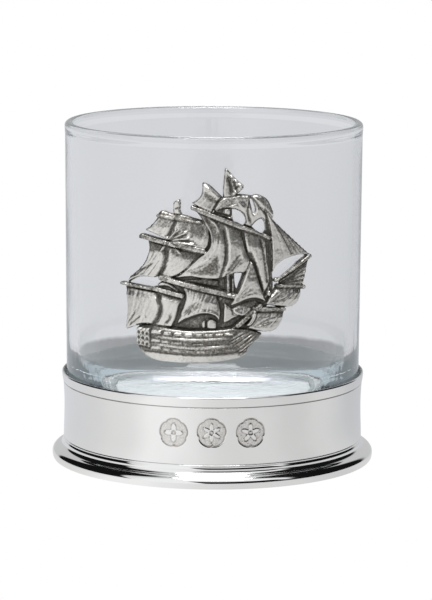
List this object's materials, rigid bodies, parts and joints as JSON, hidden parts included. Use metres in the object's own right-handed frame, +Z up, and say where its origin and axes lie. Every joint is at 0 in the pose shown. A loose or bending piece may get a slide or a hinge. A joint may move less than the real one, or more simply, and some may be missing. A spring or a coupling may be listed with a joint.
{
  "type": "whisky tumbler",
  "caption": "Heavy clear glass whisky tumbler set in a polished pewter collar with a flared foot, with a cast sailing ship badge on its front.",
  "frame": {"origin": "centre of the foot's flat underside, on the surface that the tumbler stands on", "axes": "+Z up along the axis of the glass; the ship badge and the stamped marks face -Y; +X is to the right when looking at the badge"},
  "size_m": [0.0892, 0.0892, 0.0936],
  "materials": {
    "clear_glass": "clear fire-polished soda glass, faint grey-green in its thick base",
    "polished_pewter": "mirror-polished pewter, stamped marks with a grey patina in their recesses",
    "satin_pewter": "fine-turned satin pewter, unpolished",
    "cast_pewter": "cast pewter, hand-buffed high spots, dark oxidised recesses",
    "clear_bond": "clear cured adhesive"
  },
  "bodies": {
    "root": {"glass_tumbler": "clear_glass", "collar_band": "polished_pewter", "foot_ring": "polished_pewter", "base_disc": "satin_pewter", "base_adhesive": "clear_bond", "ship_badge": "cast_pewter", "badge_adhesive": "clear_bond"}
  },
  "joints": []
}
